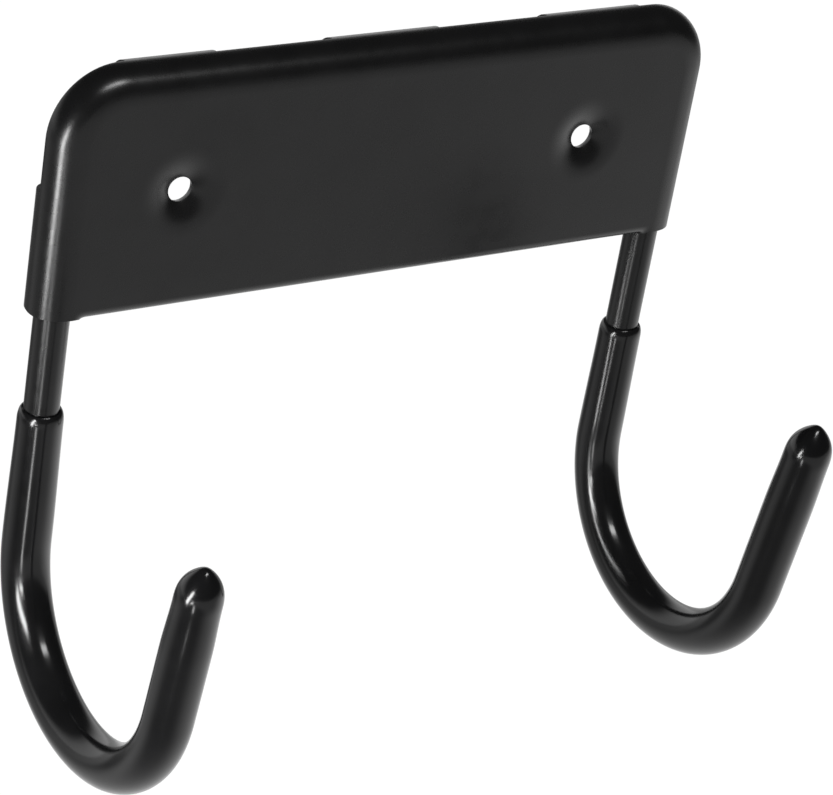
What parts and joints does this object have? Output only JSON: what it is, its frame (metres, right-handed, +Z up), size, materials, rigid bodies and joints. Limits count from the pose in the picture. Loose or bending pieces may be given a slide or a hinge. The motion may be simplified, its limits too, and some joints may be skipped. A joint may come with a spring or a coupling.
{
  "type": "double utility hook",
  "caption": "Wall plate rolled over a bent steel rod whose coated ends form deep U hooks for hanging tools, hoses and cords.",
  "frame": {"origin": "midway between the screw holes, on the rear plane of their dimpled rims", "axes": "+X to the right as seen from the room, +Y into the wall, +Z up"},
  "size_m": [0.1708, 0.0841, 0.1538],
  "materials": {
    "plate_paint": "satin black powder coat",
    "rod_paint": "satin black powder coat",
    "vinyl": "glossy black vinyl dip"
  },
  "bodies": {
    "root": {"back_plate": "plate_paint", "wire_frame": "rod_paint", "left_vinyl_dip": "vinyl", "right_vinyl_dip": "vinyl"}
  },
  "joints": []
}
